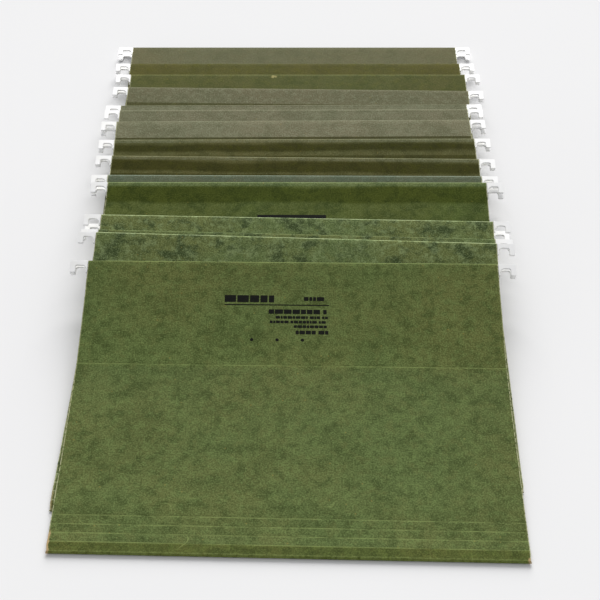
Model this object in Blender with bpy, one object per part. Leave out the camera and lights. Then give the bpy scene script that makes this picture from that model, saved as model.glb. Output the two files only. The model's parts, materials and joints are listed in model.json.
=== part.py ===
"""Fanned pile of letter-size hanging file folders, lying on a table.

Every folder is a scored card cover, folded once at its foot, with a coated steel rod in the hem
along the top of each half. The rods' hooked ends stand out past the card. The folders lie on each
other like roof tiles, each one a little further back than the one on top of it.

Frame: X across the folders, +Y from the folds at the front to the rods at the back, +Z up. The
origin is the centre of the pile's footprint, on the table. Metres.

The pile is worked out in a side view, from the lowest folder upwards: each cover's line is the
lowest one that clears everything under it and bends no more sharply than card does.
"""

import math
from collections import namedtuple

import bmesh
import bpy
import numpy as np
from mathutils import Matrix

# ---------------------------------------------------------------- driving dimensions
CARD_WIDTH = 0.298  # 11 3/4 in
COVER_LENGTH = 0.238  # 9 3/8 in, from the fold to the top edge
CARD = 0.0003  # thickness of the card
GAP = 0.0003  # left between pieces that touch
FOLD_HEIGHT = 0.0012  # between the middles of the two covers at the fold
TOP_FOLD_HEIGHT = 0.0022  # the same on the top folder, whose fold nothing presses flat

STRIP_THICKNESS = 0.0010  # the rod inside the hem
STRIP_HEIGHT = 0.0090
TIP_THICKNESS = 0.0016  # the coated hook at each end of the rod
TIP_REACH = 0.0130  # from the card's side edge to the end of the hook
TIP_BAR = 0.0041  # depth of the bar above the notch
TIP_DROP = 0.0102  # from the top edge down to the end of the prong
PRONG_WIDTH = 0.0040
TIP_ROUND = 0.0008  # radius of the hook's corners
NOTCH_SHOULDER = 0.0036  # radius of the notch's inner corner
TIP_ROOT = 0.0010  # width of the hook beside the card, at the foot of that corner
TIP_LAP = 0.0006  # how far the strip runs on inside the hook

HEM_STEP = CARD + STRIP_THICKNESS + 2 * GAP  # from the cover's middle to the hem's
HEM_RADIUS = HEM_STEP / 2  # of the hem's round top, at the card's middle
HEM_TOP = HEM_RADIUS + CARD / 2  # from the top edge down to the rod's strip
HEM_TONGUE = 0.0025  # the part of the hem that lies on the card, below the rod
HEM_LENGTH = 0.0150  # the straight, stiff length at the top of a cover

# How sharply card bends upwards under its own weight, and the extra slope that its scores allow
SAG = 1.1  # 1/m
CREASE_FROM_FOLD = 0.1488
CREASE_SLOPE = 0.17
SCORES_FROM_FOLD = (0.0072, 0.0137, 0.0203, 0.0268)
SCORE_SLOPE = 0.03
BEND_LENGTH = 0.009  # over which a cover bends across an edge under it
BEND_PASSES = 4
LIFT_LENGTH = 0.060  # below the hem, over which a cover bends to lift its hem
REACH_PASSES = 3  # to find how much a cover's slope shortens its reach

STEP = 0.001  # grid of the side view
SIDE_VIEW_START = -0.020
SIDE_VIEW_LENGTH = 0.700
BELOW_ALL = -1.0  # stands for no surface
LINE_TOLERANCE = 0.00006  # how far a cover's drawn line may stray from the worked-out one
HEM_STEPS = 5  # flats that a hem's round top is drawn with
CORNER_STEPS = 2  # and a hook's corner, and its notch's inner corner
SHOULDER_STEPS = 4
LIP_ANGLES = (216, 234, 252, 270)  # degrees, at which the fold's lip has its corners
SHARP_ANGLE = 30  # degrees, from which an edge of a cover is shaded sharp

# One folder of the pile. back and right are its fold's place behind the front of the pile and to
# the right of its middle, and turn is in degrees. The card isn't always folded square: the back
# cover is longer than the front one, and the fold and the covers' top edges are askew, which is
# how much further back their right ends are than their left ends. sprung is how far the front
# cover's top edge springs up from the back cover.
Folder = namedtuple(
    "Folder",
    "back right turn longer fold_askew front_askew back_askew sprung",
    defaults=(0, 0, 0, 0, 0),
)

# From the top of the pile to the bottom
FOLDERS = (
    Folder(0.0005, 0.0000, -0.3, 0.0008, fold_askew=-0.0040),
    Folder(0.0315, -0.0026, -1.4, 0.0086, 0, -0.0034, -0.0017, sprung=0.003),
    Folder(0.0526, 0.0021, -0.35, -0.001, 0, -0.0042, -0.0042, sprung=0.005),
    Folder(0.0986, 0.0012, -0.6, -0.0015, 0, 0.0049, 0.0019),
    Folder(0.1127, 0.0020, 0.15),
    Folder(0.1385, 0.0002, -0.4, 0.001),
    Folder(0.1643, 0.0043, 0.8, -0.001),
    Folder(0.1910, 0.0039, 1.0, -0.003),
    Folder(0.2165, 0.0031, 0.8, 0.009),
    Folder(0.2448, 0.0007, -0.65),
    Folder(0.2714, 0.0052, 0.5, 0.001),
    Folder(0.2929, 0.0024, 0.5),
    Folder(0.3226, 0.0014, 0.5, -0.002, sprung=0.002),
)

CARD_COLOUR = (0.11, 0.15, 0.05, 1.0)
CARD_ROUGHNESS = 0.75
ROD_COLOUR = (0.85, 0.84, 0.81, 1.0)
ROD_ROUGHNESS = 0.40


# ---------------------------------------------------------------- side view
def grid():
    """The places along Y at which the side view is worked out."""
    return SIDE_VIEW_START + STEP * np.arange(round(SIDE_VIEW_LENGTH / STEP) + 1)


def allowed_bend(along):
    """The height of a cover that bends upwards as sharply as card may everywhere, scores too."""
    bend = 0.5 * SAG * along**2
    bend += CREASE_SLOPE * np.maximum(0, along - CREASE_FROM_FOLD)
    for score in SCORES_FROM_FOLD:
        bend += SCORE_SLOPE * np.maximum(0, along - score)
    return bend


def upper_hull(xs, zs):
    """The lowest concave line over the points, at their own places."""
    kept = []
    for x, z in zip(xs, zs):
        while len(kept) > 1:
            (x1, z1), (x2, z2) = kept[-2:]
            if (z2 - z1) * (x - x1) > (z - z1) * (x2 - x1):
                break
            kept.pop()
        kept.append((x, z))
    corners = np.array(kept)
    return np.interp(xs, corners[:, 0], corners[:, 1])


def smoothed(values, length):
    """A running mean over that length, with the ends carried on in a straight line."""
    n = round(length / STEP / 2)
    before = 2 * values[0] - values[n:0:-1]
    after = 2 * values[-1] - values[-2 : -n - 2 : -1]
    padded = np.concatenate([before, values, after])
    return np.convolve(padded, np.ones(2 * n + 1) / (2 * n + 1), "valid")


def widened(values, reach):
    """At each place, the highest value within reach of it."""
    n = math.ceil(reach / STEP)
    padded = np.pad(values, n, constant_values=BELOW_ALL)
    return np.max([padded[i : i + len(values)] for i in range(2 * n + 1)], axis=0)


def with_straight_hem(along, line, need):
    """The line with its stiff top made straight, high enough to clear what is under it."""
    first = int(np.argmax(along > along[-1] - HEM_LENGTH))
    before = first - round(HEM_LENGTH / STEP / 2)
    slope = (line[first] - line[before]) / (along[first] - along[before])
    result = line.copy()
    result[first:] = line[first] + slope * (along[first:] - along[first])
    lift = max(0.0, float((need[first:] - result[first:]).max()))
    ramp = np.clip(1 + (along - along[first]) / LIFT_LENGTH, 0, 1)
    return result + lift * ramp


def cover_line(floor, fold_y, fold_z, length, under_hem):
    """The middle of a cover's card in the side view, from its fold to its top edge.

    floor is the highest surface under the cover along the grid, and under_hem how much further
    than the card the hem reaches down. The cover's slope shortens its reach along Y.
    """
    reach = length
    for _ in range(REACH_PASSES):
        along = np.linspace(0, reach, round(length / STEP) + 1)
        need = np.interp(fold_y + along, grid(), floor) + GAP + CARD / 2
        need[along > reach - HEM_LENGTH] += under_hem
        need[0] = max(need[0], fold_z)
        bend = allowed_bend(along)
        line = upper_hull(along, need - bend) + bend
        for _ in range(BEND_PASSES):
            line = smoothed(np.maximum(line, need), BEND_LENGTH)
        line = with_straight_hem(along, np.maximum(line, need), need)
        line[0] = need[0]
        run = np.hypot(np.diff(along), np.diff(line)).sum()
        reach *= length / run
    return np.column_stack([fold_y + along, line])


def top_surface(line, over_hem, lip):
    """The surface over a cover along the grid. lip is how far its fold stands out in front."""
    height = np.where(line[:, 0] > line[-1, 0] - HEM_LENGTH, over_hem, CARD / 2)
    ys = np.concatenate([[line[0, 0] - lip], line[:, 0]])
    zs = np.concatenate([[line[0, 1] + height[0]], line[:, 1] + height])
    return np.interp(grid(), ys, zs, left=BELOW_ALL, right=BELOW_ALL)


def thinned(points):
    """Those of the points that a broken line needs to stay near all of them."""
    if len(points) < 3:
        return points
    (y0, z0), (y1, z1) = points[0], points[-1]
    off = np.abs((points[:, 0] - y0) * (z1 - z0) - (points[:, 1] - z0) * (y1 - y0))
    off /= math.hypot(y1 - y0, z1 - z0)
    worst = int(off.argmax())
    if off[worst] <= LINE_TOLERANCE:
        return np.array([points[0], points[-1]])
    return np.concatenate([thinned(points[: worst + 1])[:-1], thinned(points[worst:])])


def directions(folder):
    """The directions of a folder's card and of its edges, in radians from the X axis."""
    askew = (0, folder.fold_askew, folder.front_askew, folder.back_askew)
    return [math.radians(folder.turn) + length / CARD_WIDTH for length in askew]


def askew_reach(folder, other):
    """How far apart along Y two folders' edges get at their ends, for what isn't parallel."""
    apart = max(abs(a - b) for a in directions(folder) for b in directions(other))
    return apart * (CARD_WIDTH / 2 + TIP_REACH)


def lay_pile():
    """For each folder, its hinge's height and its covers' lines, measured from the hinge.

    The folders are laid from the bottom of the pile to the top, and listed the other way round.
    """
    table = np.full(len(grid()), -GAP)
    laid = []
    pile = []
    for folder in reversed(FOLDERS):
        fold_height = TOP_FOLD_HEIGHT if folder is FOLDERS[0] else FOLD_HEIGHT
        fold_z = CARD / 2
        lines = {}
        for cover, longer in (("back", folder.longer / 2), ("front", -folder.longer / 2)):
            surfaces = [widened(s, askew_reach(folder, other)) for other, s in laid]
            floor = np.max([table, *surfaces], axis=0)
            under_hem, over_hem = (0, HEM_STEP) if cover == "back" else (HEM_STEP, 0)
            line = cover_line(floor, folder.back, fold_z, COVER_LENGTH + longer, under_hem)
            if cover == "front":
                line[:, 1] += folder.sprung * ((line[:, 0] - folder.back) / COVER_LENGTH) ** 2
            laid.append((folder, top_surface(line, over_hem + CARD / 2, fold_height)))
            lines[cover] = line
            fold_z = line[0, 1] + fold_height
        hinge = lines["front"][0]
        pile.insert(0, (hinge[1], {cover: thinned(line) - hinge for cover, line in lines.items()}))
    return pile


# ---------------------------------------------------------------- card covers
def offset(points, distance):
    """The broken line moved sideways, to its left if distance is positive."""
    along = np.gradient(points, axis=0)
    along /= np.linalg.norm(along, axis=1)[:, None]
    return points + distance * np.column_stack([-along[:, 1], along[:, 0]])


def hem_frame(line, side):
    """The top edge's middle, and the unit vectors up the cover and out through its outer face."""
    up = line[-1] - line[-2]
    up = up / np.linalg.norm(up)
    return line[-1], up, side * np.array([-up[1], up[0]])


def with_lip(line):
    """The back cover's line with the quarter circle of the fold that rises in front of it."""
    radius = -line[0, 1] / 2
    angles = np.radians(LIP_ANGLES)
    lip = np.column_stack([radius * np.cos(angles), radius * np.sin(angles) - radius])
    return np.concatenate([lip, line[1:]])


def cover_outline(line, side):
    """The closed side view of a cover. side is 1 if its outer face is up and -1 if it's down."""
    top, up, out = hem_frame(line, side)
    half = CARD / 2
    card = line.copy()
    card[-1] = top - HEM_TOP * up
    middle = card[-1] - HEM_RADIUS * out
    turns = np.linspace(0, math.pi, HEM_STEPS + 1)[1:-1]
    bend = STRIP_HEIGHT + 2 * GAP
    closed = CARD + GAP  # from the card's middle to the tongue's
    tongue = bend + HEM_STEP - closed

    def at(down, inward):
        return card[-1] - down * up - inward * out

    def round_top(radius, angles):
        return [middle + radius * (math.cos(a) * out + math.sin(a) * up) for a in angles]

    return [
        *offset(card, side * half),
        *round_top(HEM_RADIUS + half, turns),
        at(0, HEM_STEP + half),
        at(bend, HEM_STEP + half),
        at(tongue, closed + half),
        at(tongue + HEM_TONGUE, closed + half),
        at(tongue + HEM_TONGUE, closed - half),
        at(tongue - half, closed - half),
        at(bend - half, HEM_STEP - half),
        at(0, HEM_STEP - half),
        *round_top(HEM_RADIUS - half, turns[::-1]),
        *offset(card, -side * half)[::-1],
    ]


def prism(name, outline, place, depth):
    """A mesh: the outline, whose corners place() puts in 3-D, pushed out by the vector depth."""
    bm = bmesh.new()
    face = bm.faces.new([bm.verts.new(place(*corner)) for corner in outline])
    pushed = bmesh.ops.extrude_face_region(bm, geom=[face])["geom"]
    far = [v for v in pushed if isinstance(v, bmesh.types.BMVert)]
    bmesh.ops.translate(bm, verts=far, vec=depth)
    bmesh.ops.recalc_face_normals(bm, faces=bm.faces)
    mesh = bpy.data.meshes.new(name)
    bm.to_mesh(mesh)
    bm.free()
    return mesh


def cover_mesh(name, line, side, fold_askew, edge_askew):
    """A cover's mesh, sheared so that its fold and its top edge are askew by those lengths."""
    shape = line if side > 0 else with_lip(line)
    outline = cover_outline(shape, side)
    mesh = prism(name, outline, lambda y, z: (-CARD_WIDTH / 2, y, z), (CARD_WIDTH, 0, 0))
    for vertex in mesh.vertices:
        up_the_cover = min(max(vertex.co.y / line[-1, 0], 0), 1)
        askew = fold_askew + (edge_askew - fold_askew) * up_the_cover
        vertex.co.y += askew * vertex.co.x / CARD_WIDTH
    mesh.shade_smooth()
    mesh.set_sharp_from_angle(angle=math.radians(SHARP_ANGLE))
    return mesh


# ---------------------------------------------------------------- rods
def arc(centre, radius, start, end, steps):
    """Points of an arc between two angles in degrees, ends included."""
    angles = np.radians(np.linspace(start, end, steps + 1))
    return [(centre[0] + radius * math.cos(a), centre[1] + radius * math.sin(a)) for a in angles]


def tip_outline():
    """The right-hand hook: x from the card's side edge, y up the cover from its top edge."""
    r = TIP_ROUND
    foot = -TIP_DROP
    outer = TIP_REACH - PRONG_WIDTH
    inner = GAP + TIP_ROOT
    shoulder = (inner + NOTCH_SHOULDER, -TIP_BAR - NOTCH_SHOULDER)
    return [
        (GAP, 0),
        *arc((TIP_REACH - r, -r), r, 90, 0, CORNER_STEPS),
        *arc((TIP_REACH - r, foot + r), r, 0, -90, CORNER_STEPS),
        *arc((outer + r, foot + r), r, -90, -180, CORNER_STEPS),
        *arc((outer - r, -TIP_BAR - r), r, 0, 90, CORNER_STEPS),
        *arc(shoulder, NOTCH_SHOULDER, 90, 180, SHOULDER_STEPS),
        (inner, foot),
        (GAP, foot),
    ]


def plate(name, outline, thickness):
    """An object: a flat plate of that outline in X and Y, with its thickness about z = 0."""
    mesh = prism(name, outline, lambda x, y: (x, y, -thickness / 2), (0, 0, thickness))
    obj = bpy.data.objects.new(name, mesh)
    bpy.context.scene.collection.objects.link(obj)
    return obj


def rod_mesh():
    """The whole rod as one mesh: x along it, y up the cover from its top edge, z across the card."""
    half = CARD_WIDTH / 2
    right = [(half + x, y) for x, y in tip_outline()]
    left = [(-x, y) for x, y in right]
    reach = half + GAP + TIP_LAP
    high, low = -HEM_TOP, -HEM_TOP - STRIP_HEIGHT
    ends = [(-reach, low), (reach, low), (reach, high), (-reach, high)]
    rod = plate("rod", ends, STRIP_THICKNESS)
    tips = [plate("right_tip", right, TIP_THICKNESS), plate("left_tip", left, TIP_THICKNESS)]
    for tip in tips:
        union = rod.modifiers.new(tip.name, "BOOLEAN")
        union.operation = "UNION"
        union.solver = "EXACT"
        union.object = tip
    bpy.context.view_layer.update()
    mesh = bpy.data.meshes.new_from_object(rod.evaluated_get(bpy.context.evaluated_depsgraph_get()))
    for obj in [rod, *tips]:
        bpy.data.objects.remove(obj)
    return mesh


# ---------------------------------------------------------------- scene
def material(name, colour, roughness):
    made = bpy.data.materials.new(name)
    made.use_nodes = True
    shader = made.node_tree.nodes["Principled BSDF"]
    shader.inputs["Base Color"].default_value = colour
    shader.inputs["Roughness"].default_value = roughness
    return made


def add(name, content, parent=None):
    """An object, or with no content an empty, linked to the scene under its parent."""
    obj = bpy.data.objects.new(name, content)
    obj.parent = parent
    bpy.context.scene.collection.objects.link(obj)
    return obj


def add_folder(number, folder, hinge_z, lines, pile, rod, card_surface):
    """One folder on an empty that stands on its fold, where its front cover turns."""
    fold = add(f"fold_{number:02d}", None, pile)
    fold.location = (folder.right, folder.back, hinge_z)
    fold.rotation_euler = (0, 0, math.radians(folder.turn))
    sides = (("back", -1, folder.back_askew), ("front", 1, folder.front_askew))
    for cover, side, edge_askew in sides:
        line = lines[cover]
        name = f"{cover}_cover_{number:02d}"
        mesh = cover_mesh(name, line, side, folder.fold_askew, edge_askew)
        mesh.materials.append(card_surface)
        add(name, mesh, fold)
        top, up, out = hem_frame(line, side)
        placed = add(f"{cover}_rod_{number:02d}", rod, fold)
        placed.location = (0, *(top - HEM_RADIUS * out))
        placed.rotation_euler = (math.atan2(up[1], up[0]), 0, math.atan(edge_askew / CARD_WIDTH))


def centre_on_origin(pile):
    """Moves the pile so that its footprint is centred on the origin."""
    bpy.context.view_layer.update()
    meshes = [o for o in bpy.context.scene.objects if o.type == "MESH"]
    corners = np.array([o.matrix_world @ v.co for o in meshes for v in o.data.vertices])
    low, high = corners.min(axis=0), corners.max(axis=0)
    middle = (low + high) / 2
    pile.matrix_world = Matrix.Translation((-middle[0], -middle[1], -low[2]))


def main():
    for obj in list(bpy.data.objects):
        bpy.data.objects.remove(obj)
    card_surface = material("green_card", CARD_COLOUR, CARD_ROUGHNESS)
    rod = rod_mesh()
    rod.materials.append(material("coated_steel", ROD_COLOUR, ROD_ROUGHNESS))
    pile = add("pile", None)
    for number, (folder, (hinge_z, lines)) in enumerate(zip(FOLDERS, lay_pile()), 1):
        add_folder(number, folder, hinge_z, lines, pile, rod, card_surface)
    centre_on_origin(pile)


main()
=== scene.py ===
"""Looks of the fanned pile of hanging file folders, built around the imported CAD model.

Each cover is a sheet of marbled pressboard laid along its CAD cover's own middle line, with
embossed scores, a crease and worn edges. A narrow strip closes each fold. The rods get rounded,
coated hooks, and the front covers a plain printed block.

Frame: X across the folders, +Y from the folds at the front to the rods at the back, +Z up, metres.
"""
import json
import math
from collections import namedtuple

import bmesh
import bpy
import numpy as np
from mathutils import Matrix, Vector


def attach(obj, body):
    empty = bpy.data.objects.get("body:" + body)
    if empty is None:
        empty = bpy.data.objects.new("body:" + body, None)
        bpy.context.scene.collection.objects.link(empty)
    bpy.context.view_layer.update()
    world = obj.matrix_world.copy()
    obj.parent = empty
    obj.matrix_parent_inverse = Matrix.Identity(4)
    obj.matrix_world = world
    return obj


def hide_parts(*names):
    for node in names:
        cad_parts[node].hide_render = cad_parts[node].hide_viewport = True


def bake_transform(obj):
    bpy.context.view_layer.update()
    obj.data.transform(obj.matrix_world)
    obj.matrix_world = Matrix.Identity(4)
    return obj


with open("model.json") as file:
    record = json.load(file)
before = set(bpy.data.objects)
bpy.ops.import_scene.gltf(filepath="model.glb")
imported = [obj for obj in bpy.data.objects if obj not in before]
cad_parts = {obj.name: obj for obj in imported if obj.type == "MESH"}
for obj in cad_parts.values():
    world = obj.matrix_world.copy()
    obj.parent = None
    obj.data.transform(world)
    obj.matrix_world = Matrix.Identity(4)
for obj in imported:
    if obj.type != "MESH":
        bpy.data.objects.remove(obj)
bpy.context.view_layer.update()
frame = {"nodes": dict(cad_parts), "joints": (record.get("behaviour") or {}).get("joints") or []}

# ---------------------------------------------------------------- sizes, as in the CAD
CARD = 0.0003  # thickness of the card
HEM_RADIUS = 0.00095  # from the rod's middle to the hem's card
HEM_TOP = 0.0011  # from the top edge down to the rod's strip
HEM_POINTS = 8  # points of a CAD cover's middle line past its card's last
LIP_POINTS = 3  # points of a back cover's middle line in the fold's quarter circle
STRIP_THICKNESS = 0.0010  # of the rod's steel strip
STRIP_HEIGHT = 0.0090
TIP_THICKNESS = 0.0016  # of the hook at each end of the rod
TIP_REACH = 0.0130  # from the card's side edge to the hook's end
TIP_BAR = 0.0041  # height of the hook's arm
TIP_DROP = 0.0102  # from the arm's top to the prong's foot
PRONG_WIDTH = 0.0040
TIP_ROUND = 0.0008  # radius of the hook's outer corners
NOTCH_CORNER = 0.0013  # radius of the notch's corner by the prong
NOTCH_SHOULDER = 0.0036  # and by the card
TIP_ROOT = 0.0010  # width of the hook's root, down beside the card
TIP_LAP = 0.0006  # how far the strip runs into the root
GAP = 0.0003  # between the card and the hook

# ---------------------------------------------------------------- the card's surface
WELD = 1e-6
FACES_ALONG = 0.9  # least cosine at which a face counts as facing along an axis
FINE = 0.0001  # step of a cover's smoothed line
CARD_BLUR = 0.006  # length over which the CAD line's corners are smoothed, on the card
HEM_BLUR = 0.0005  # and round the hem
ROW_STEP = 0.0045  # between rows of points up a cover
HEM_ROW_STEP = 0.0004
COLUMN_STEP = 0.0062  # between columns of points across it
EDGE_COLUMNS = (0, 0.0001, 0.0006, 0.0016, 0.0036)  # from the side edge
EDGE_THINNING = 0.5  # share of the thickness left at a rounded side edge
FIRST_SCORE = 0.0073  # from the fold
SCORE_PITCH = 0.0067
SCORES = 4
CREASE = 0.1510
GROOVES = (*(FIRST_SCORE + SCORE_PITCH * i for i in range(SCORES)), CREASE)
GROOVE_HALF_WIDTH = 0.00045
GROOVE_DEPTH = 0.00012
GROOVE_ROWS = (-0.0012, -0.0007, -0.00035, 0, 0.00035, 0.0007, 0.0012)
WARP = 0.00007  # height of the card's slow waves
EDGE_WOBBLE = 0.00012  # how far its cut edges stray from straight
CORNER_WEAR = 0.0007  # how far its corners at the fold are worn back
WARP_LENGTHS = (0.19, 0.11, 0.07, 0.043)
EDGE_WAVES = (0.061, 0.023, 0.009)
CALM_LENGTH = 0.02  # over which the waves die out towards the fold and the hem
ROW_MERGE = 0.0002  # rows closer together than this become one
UNSHEAR_PASSES = 3
SHARP_ANGLE = math.radians(50)
PATTERN_STEP = 0.73  # between two sheets' places in the marbling
FOLD_POINTS = 24
FOLD_ROWS = 12

# ---------------------------------------------------------------- rods
TIP_EASE = 0.0003  # radius of the hook's corners beside the card
TIP_ROUNDING = 0.00045  # of the coating over the hook's rims
STRIP_ROUNDING = 0.00015
RIM_SEGMENTS = 3
CORNER_STEPS = 6
COATED, BARE = 0, 1  # the places of a rod's two materials

# ---------------------------------------------------------------- print
# The sizes of lines are (length, s of the lower edge, s of the upper edge), s from the fold.
PRINT_LEFT = -0.0485
PRINT_RIGHT = 0.0262
HEAVY_LINE = (0.0395, 0.2030, 0.2088)
SMALL_LINE = (0.0180, 0.2045, 0.2078)
RULE = (0.2004, 0.2013)
SOLID_TITLE = (-0.0303, 0.0228, 0.2020, 0.2062)
SOLID_FOLDER = 4
PRINT_LINES = (
    (0.0430, 0.1935, 0.1972),
    (0.0380, 0.1895, 0.1917),
    (0.0420, 0.1857, 0.1879),
    (0.0250, 0.1820, 0.1842),
    (0.0235, 0.1768, 0.1798),
)
# Sizes of the blocks in a line, in line heights, and how many of them stand together
BLOCK_WIDTHS = (0.60, 1.60)
BLOCK_GAP = 0.16
GROUP_GAP = 0.45
GROUP_SIZES = (2, 9)
ONE_GROUP = (40, 41)
CUT_CORNER = 0.0003
MARK_STEP = 0.004  # longest step along a mark, so that it follows the card
DOTS = 3
FIRST_DOT = -0.0282
DOT_PITCH = 0.0178
DOT_UP = 0.1720
DOT_RADIUS = 0.0012
DOT_COLUMNS = 9
DOT_END = 80  # degrees, at which a dot's first and last columns stand
INK = 0.00004  # half the thickness of the ink
PRINT_SEED = 5

# ---------------------------------------------------------------- colours
# A folder's colours are display values from 0 to 255: the card's own, warmer and darker patches,
# its pale specks and its worn edges. The shares say how much of each shows. Its bands are painted
# light and shade along the top edge: painted highlight and sheen on the hem, painted shade below it
# and painted shadow lines where the folder in front hides the card. Each has a start and an end,
# measured from the top edge, the blur of its ends, and what the colour is multiplied by.
Tone = namedtuple(
    "Tone", "base warm patch speck worn patch_scale patch_share speck_share grain_share bands"
)
Band = namedtuple("Band", "start end blur factor")
DISPLAY_GAMMA = 2.2
SHARP = 0.0003
SOFT = 0.0022
SOFT_EDGE = 0.0010  # a band with a softer end than this also strays
# painted light along the top: a painted highlight on the top edge, and painted sheen on the hem
# below it
EDGE_HIGHLIGHT = Band(0.0, 0.0011, SHARP, (1.9, 1.9, 2.4))
HEM_SHEEN = Band(0.0011, 0.0042, 0.0008, (1.22, 1.26, 1.7))
OLIVE = Tone(
    (93, 107, 64), (102, 107, 64), (62, 73, 40), (118, 136, 84), (136, 150, 92),
    115.0, 0.62, 0.35, 0.60,
    # painted highlight on the top edge, and painted light over the cover above its crease, which
    # the low back light leaves darker
    (Band(0.0, 0.0009, SHARP, (1.2, 1.2, 1.2)), Band(-0.001, 0.0885, 0.0006, (1.10, 1.09, 1.05))),
)
BLUISH = Tone(
    (101, 116, 71), (108, 115, 68), (60, 72, 44), (144, 160, 112), (190, 200, 158),
    75.0, 0.95, 0.50, 0.50,
    # painted highlight on the top edge
    (Band(0.0, 0.0009, SHARP, (2.0, 2.0, 2.3)),),
)
DARK = Tone(
    (91, 106, 55), (94, 103, 54), (57, 70, 34), (116, 126, 80), (136, 152, 114),
    90.0, 0.60, 0.30, 0.50,
    # painted highlight and sheen at the top, then painted shade below the hem, where the card
    # curves away from the light
    (EDGE_HIGHLIGHT, HEM_SHEEN, Band(0.0050, 0.0205, SOFT, (0.60, 0.62, 0.36))),
)
# its blue-grey is partly the card's own colour and partly painted sheen from the back light at
# grazing angles
BLUE_GREY = Tone(
    (96, 101, 77), (96, 99, 74), (80, 92, 70), (124, 134, 110), (126, 142, 126),
    90.0, 0.50, 0.30, 0.50,
    # painted highlight on the top edge, and a bluish painted sheen below it
    (EDGE_HIGHLIGHT, Band(0.0011, 0.0060, 0.0008, (0.98, 1.0, 1.1))),
)
BROWN = Tone(
    (90, 91, 56), (94, 91, 54), (66, 67, 34), (114, 116, 82), (140, 146, 118),
    90.0, 0.50, 0.30, 0.50,
    # painted highlight and sheen at the top, painted shade below the hem, and a painted shadow line
    # at the bottom, where the folder in front hides the card
    (EDGE_HIGHLIGHT, HEM_SHEEN, Band(0.0050, 0.0166, SOFT, (0.47, 0.48, 0.24)),
     Band(0.0190, 0.05, SHARP, (0.6, 0.6, 0.4))),
)
# as BROWN, with a narrower band of painted shade below the hem
SHADED = BROWN._replace(
    bands=(EDGE_HIGHLIGHT, HEM_SHEEN, Band(0.0050, 0.0140, SOFT, (0.44, 0.45, 0.21)), BROWN.bands[-1])
)
# GREY, PALE, LOWER_GREY and FURTHEST: their grey is partly the cards' own colour and partly painted
# sheen, the grey that the back light gives the further covers at grazing angles
GREY = Tone(
    (123, 123, 97), (127, 122, 97), (92, 94, 68), (146, 148, 122), (140, 142, 116),
    90.0, 0.40, 0.40, 0.60,
    # a painted shadow line at the bottom, where the folder in front hides the card
    (Band(0.0194, 0.05, SHARP, (0.38, 0.38, 0.24)),),
)
PALE = Tone(
    (120, 121, 96), (124, 120, 96), (90, 92, 66), (144, 146, 120), (138, 142, 116),
    90.0, 0.40, 0.40, 0.60,
    # a thin line of painted shade below the top edge
    (Band(0.0022, 0.0034, SHARP, (0.82, 0.84, 0.80)),),
)
LOWER_GREY = GREY._replace(
    # a painted shadow line at the bottom, where the folder in front hides the card
    base=(106, 106, 80), warm=(110, 105, 80), bands=(Band(0.0194, 0.05, SHARP, (0.55, 0.55, 0.38)),)
)
MOSSY = Tone(
    (90, 94, 56), (93, 92, 54), (68, 76, 38), (116, 118, 74), (124, 126, 80),
    90.0, 0.45, 0.25, 0.50,
    # painted highlight on the top edge
    (Band(0.0, 0.0018, SHARP, (1.25, 1.25, 1.2)),),
)
OCHRE = Tone(
    (88, 90, 48), (92, 88, 46), (70, 70, 32), (112, 112, 66), (118, 120, 74),
    90.0, 0.35, 0.25, 0.50,
    # painted shade on the top edge
    (Band(0.0, 0.0010, SHARP, (0.9, 0.9, 0.8)),),
)
FURTHEST = Tone(
    (107, 106, 79), (111, 106, 77), (88, 90, 62), (124, 126, 98), (120, 122, 96),
    90.0, 0.35, 0.35, 0.60,
    # painted shade on the top edge
    (Band(0.0, 0.0016, SHARP, (0.7, 0.74, 0.6)),),
)
# The tones differ partly in the cards' own colours and partly in painted sheen and shade, most of
# all the grey of the further covers
TONES = (
    OLIVE,
    BLUISH,
    BLUISH,
    DARK,
    BLUE_GREY,
    BROWN,
    SHADED,
    GREY,
    PALE,
    LOWER_GREY,
    MOSSY,
    OCHRE,
    FURTHEST,
)
FLECK_COLOUR = (0.27, 0.22, 0.06, 1.0)
KRAFT_COLOUR = (0.46, 0.33, 0.17, 1.0)
SCUFF_COLOUR = (0.40, 0.36, 0.15, 1.0)
CUT_COLOUR = (0.50, 0.50, 0.30, 1.0)
# painted shade on the strip between the fold and the first score, where the card curves down to the
# fold
LAST_STRIP_PAINTED_SHADE = (0.78, 0.74, 0.58)
# painted light on the round fold, lifting the shade on its face, which faces away from the back
# light
ROUND_FOLD_PAINTED_LIGHT = (1.25, 1.25, 1.2)
COATING_COLOUR = (0.99, 0.99, 0.985, 1.0)
COATING_YELLOWED = (0.97, 0.965, 0.94, 1.0)
COATING_SCUFFED = (0.74, 0.74, 0.74, 1.0)
STEEL_DULL = (0.42, 0.43, 0.44, 1.0)
STEEL_BRIGHT = (0.58, 0.58, 0.58, 1.0)
INK_COLOUR = (12, 14, 8)
INK_THIN = (40, 48, 24)
TABLE_COLOUR = (0.805, 0.805, 0.81, 1.0)
TABLE_PALE = (0.83, 0.83, 0.832, 1.0)

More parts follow.
